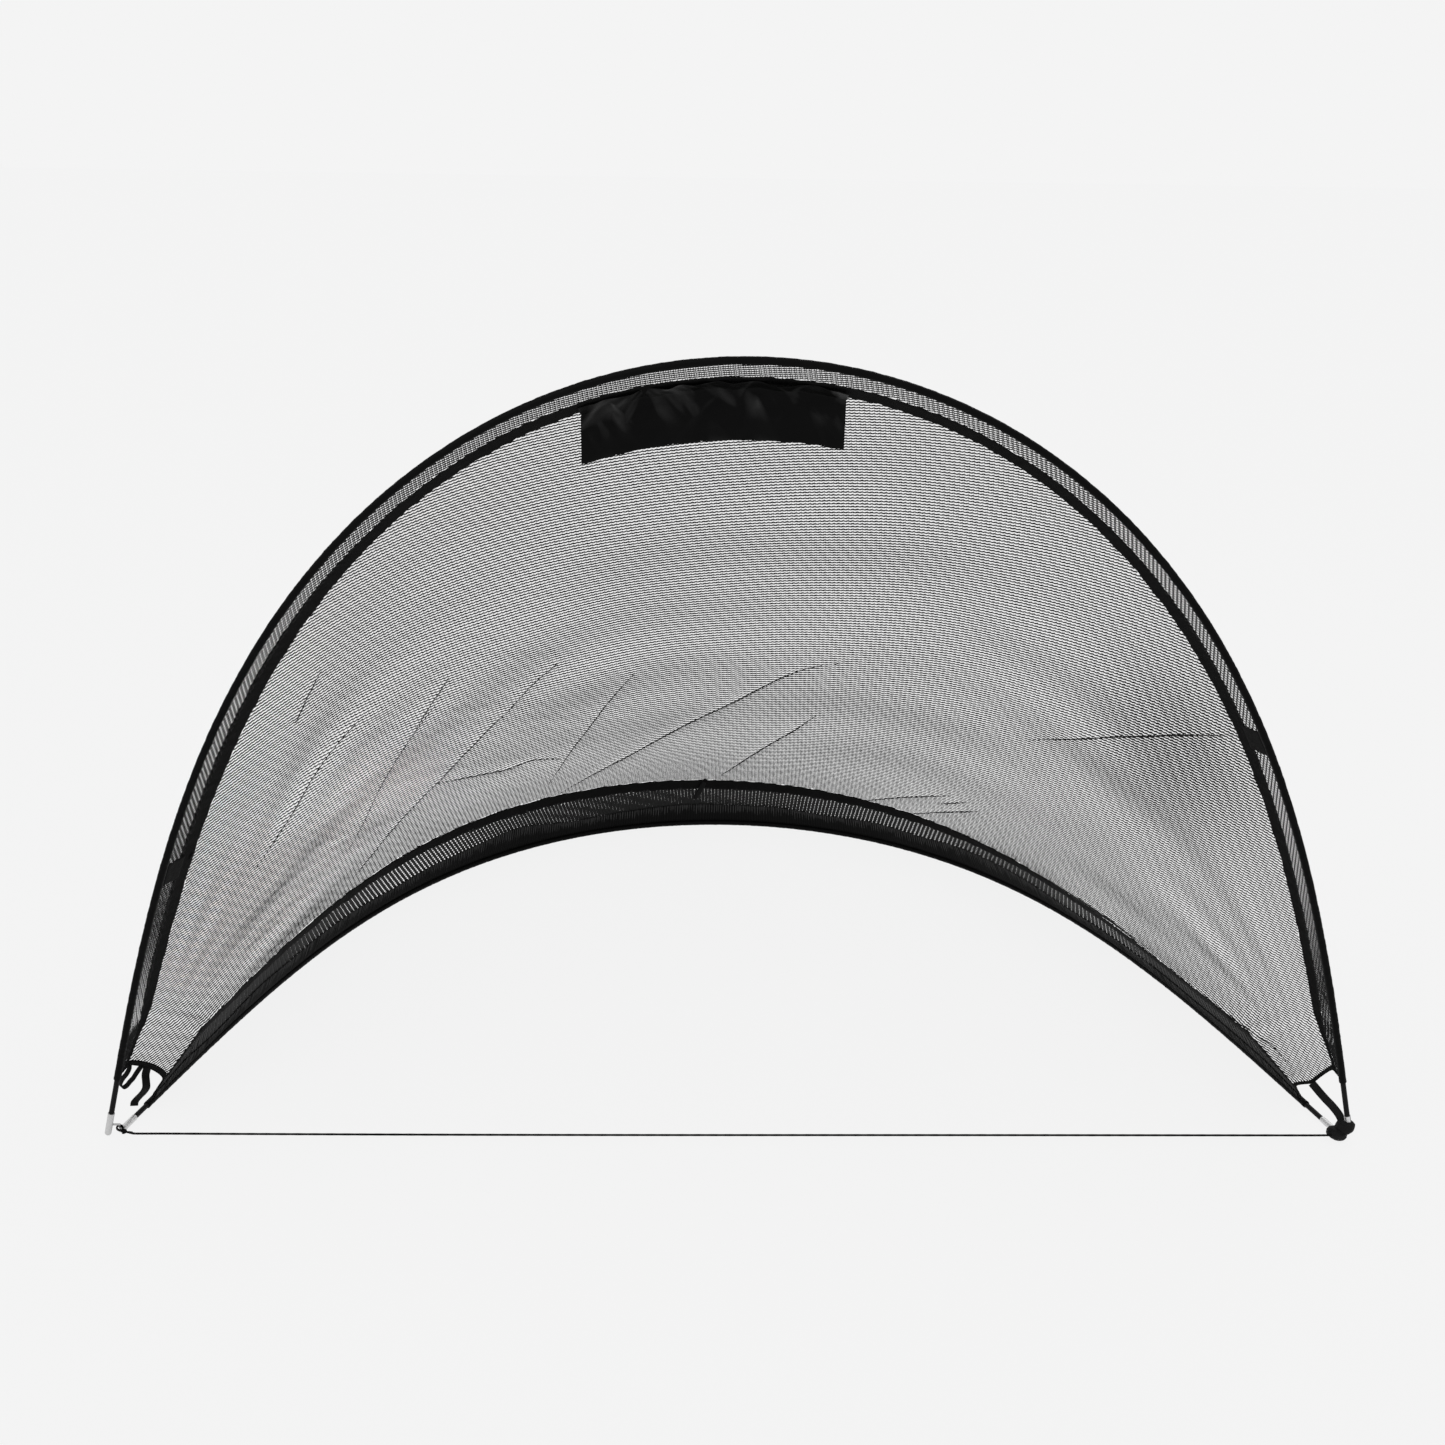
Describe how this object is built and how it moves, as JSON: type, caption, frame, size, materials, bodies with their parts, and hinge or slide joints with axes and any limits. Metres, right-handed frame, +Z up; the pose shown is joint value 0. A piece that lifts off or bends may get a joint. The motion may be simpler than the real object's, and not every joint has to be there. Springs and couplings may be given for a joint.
{
  "type": "hockey goal net",
  "caption": "Folding practice hockey goal: two sprung hoops hinged at the corners, a mesh net between them, a plain banner and a ground cord.",
  "frame": {"origin": "on the ground, under the middle of the goal's bounding box", "axes": "+X to the right as seen from in front of the mouth, +Y to the back of the goal, +Z up"},
  "size_m": [1.8491, 1.2263, 1.155],
  "materials": {
    "rod": "satin black glass-fibre rod",
    "sleeve": "black nylon sleeve cloth",
    "ferrule_grey": "bead-blasted light grey ferrule",
    "ferrule_silver": "bright ferrule",
    "wire": "bare steel wire",
    "boot": "matt black rubber",
    "cord": "black braided cord",
    "border": "doubled black polyester mesh",
    "tape": "black woven binding tape",
    "net": "black knitted mesh with gaps of about 6 by 7 mm",
    "band": "dark mesh strip",
    "hem": "gathered, doubled mesh",
    "webbing": "black webbing",
    "patch": "black woven cloth",
    "banner": "plain black nylon satin"
  },
  "bodies": {
    "ground_hoop": {"ground_rod": "rod", "ground_sleeve": "sleeve", "ground_ferrule_left": "ferrule_silver", "ground_ferrule_right": "ferrule_silver", "corner_link_left": "wire", "corner_pin_right": "wire", "corner_boot_right": "boot", "ground_cord": "cord", "net_panel": "net", "band_tape": "tape", "ground_band": "band", "ground_hem": "hem", "corner_binding_left": "tape", "corner_binding_right": "tape", "corner_strap_left": "webbing", "corner_tail_left": "webbing", "corner_strap_right": "webbing", "centre_tie": "webbing"},
    "front_hoop": {"front_rod": "rod", "front_sleeve": "sleeve", "front_ferrule_left": "ferrule_grey", "front_ferrule_right": "ferrule_silver", "front_border": "border", "front_tape": "tape", "border_patch_left": "patch", "patch_tab_left": "patch", "border_patch_right": "patch", "banner": "banner"}
  },
  "joints": [
    {"name": "front_hoop_fold", "type": "hinge", "parent": "ground_hoop", "child": "front_hoop", "pos_m": [0, -0.569, 0.02], "axis": [1, 0, 0], "range_deg": [-92, 0], "stiffness_Nm_per_rad": 4.4, "springref_deg": -0.4, "deforming": ["front_border", "front_tape", "border_patch_left", "patch_tab_left", "border_patch_right", "banner", "net_panel", "band_tape", "ground_band", "ground_hem", "corner_binding_left", "corner_binding_right", "corner_strap_left", "corner_tail_left", "corner_strap_right", "centre_tie"]}
  ]
}
